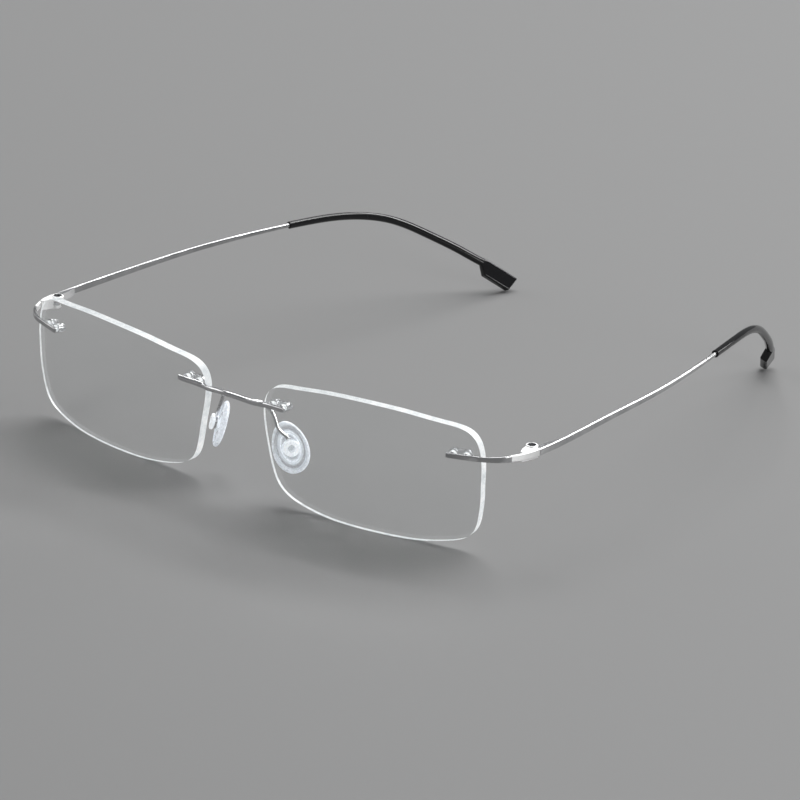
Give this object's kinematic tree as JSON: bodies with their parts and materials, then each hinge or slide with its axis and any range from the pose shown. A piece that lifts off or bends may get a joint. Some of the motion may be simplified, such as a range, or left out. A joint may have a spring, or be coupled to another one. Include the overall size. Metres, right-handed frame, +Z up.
{
  "type": "eyeglasses",
  "caption": "Rimless eyeglasses: two drilled lenses joined by an arched bridge, wrapped end pieces, folding strip temples with black sleeve tips, and rocking clear nose pads.",
  "frame": {"origin": "centre of the footprint on the table, at the level the lens bottoms and the temple tips rest on", "axes": "+Z up, +Y from the lenses back along the open temples, +X towards the wearer's left"},
  "size_m": [0.1356, 0.1477, 0.0295],
  "materials": {
    "lens": "clear coated plastic lens with polished edges",
    "titanium": "polished titanium, silver",
    "screw_steel": "bright steel screw",
    "tip_black": "glossy black",
    "clear_plug": "clear plastic compression sleeve",
    "pad_core": "clear hard plastic",
    "silicone": "clear soft silicone"
  },
  "bodies": {
    "front": {"bridge": "titanium", "bridge_pins": "titanium", "left_lens": "lens", "left_bridge_plug": "clear_plug", "left_end_piece_plug": "clear_plug", "left_end_piece": "titanium", "left_end_piece_pins": "titanium", "left_hinge_front_leaf": "titanium", "left_hinge_screw": "screw_steel", "left_pad_arm": "titanium", "right_lens": "lens", "right_bridge_plug": "clear_plug", "right_end_piece_plug": "clear_plug", "right_end_piece": "titanium", "right_end_piece_pins": "titanium", "right_hinge_front_leaf": "titanium", "right_hinge_screw": "screw_steel", "right_pad_arm": "titanium"},
    "left_temple_arm": {"left_temple": "titanium", "left_temple_tip": "tip_black", "left_hinge_temple_leaf": "titanium"},
    "left_pad": {"left_pad_core": "pad_core", "left_nose_pad": "silicone"},
    "right_temple_arm": {"right_temple": "titanium", "right_temple_tip": "tip_black", "right_hinge_temple_leaf": "titanium"},
    "right_pad": {"right_pad_core": "pad_core", "right_nose_pad": "silicone"}
  },
  "joints": [
    {"name": "left_temple_fold", "type": "hinge", "parent": "front", "child": "left_temple_arm", "pos_m": [0.06564, -0.05201, 0.0219], "axis": [0, 0, 1], "range_deg": [0, 79]},
    {"name": "right_temple_fold", "type": "hinge", "parent": "front", "child": "right_temple_arm", "pos_m": [-0.06564, -0.05201, 0.0219], "axis": [0, 0, -1], "range_deg": [0, 74]},
    {"name": "left_pad_rock", "type": "hinge", "parent": "front", "child": "left_pad", "pos_m": [0.01081, -0.06331, 0.01121], "axis": [-0.5813, -0.7501, -0.3153], "range_deg": [-5, 5]},
    {"name": "right_pad_rock", "type": "hinge", "parent": "front", "child": "right_pad", "pos_m": [-0.01081, -0.06331, 0.01121], "axis": [-0.5813, 0.7501, 0.3153], "range_deg": [-5, 5]}
  ]
}
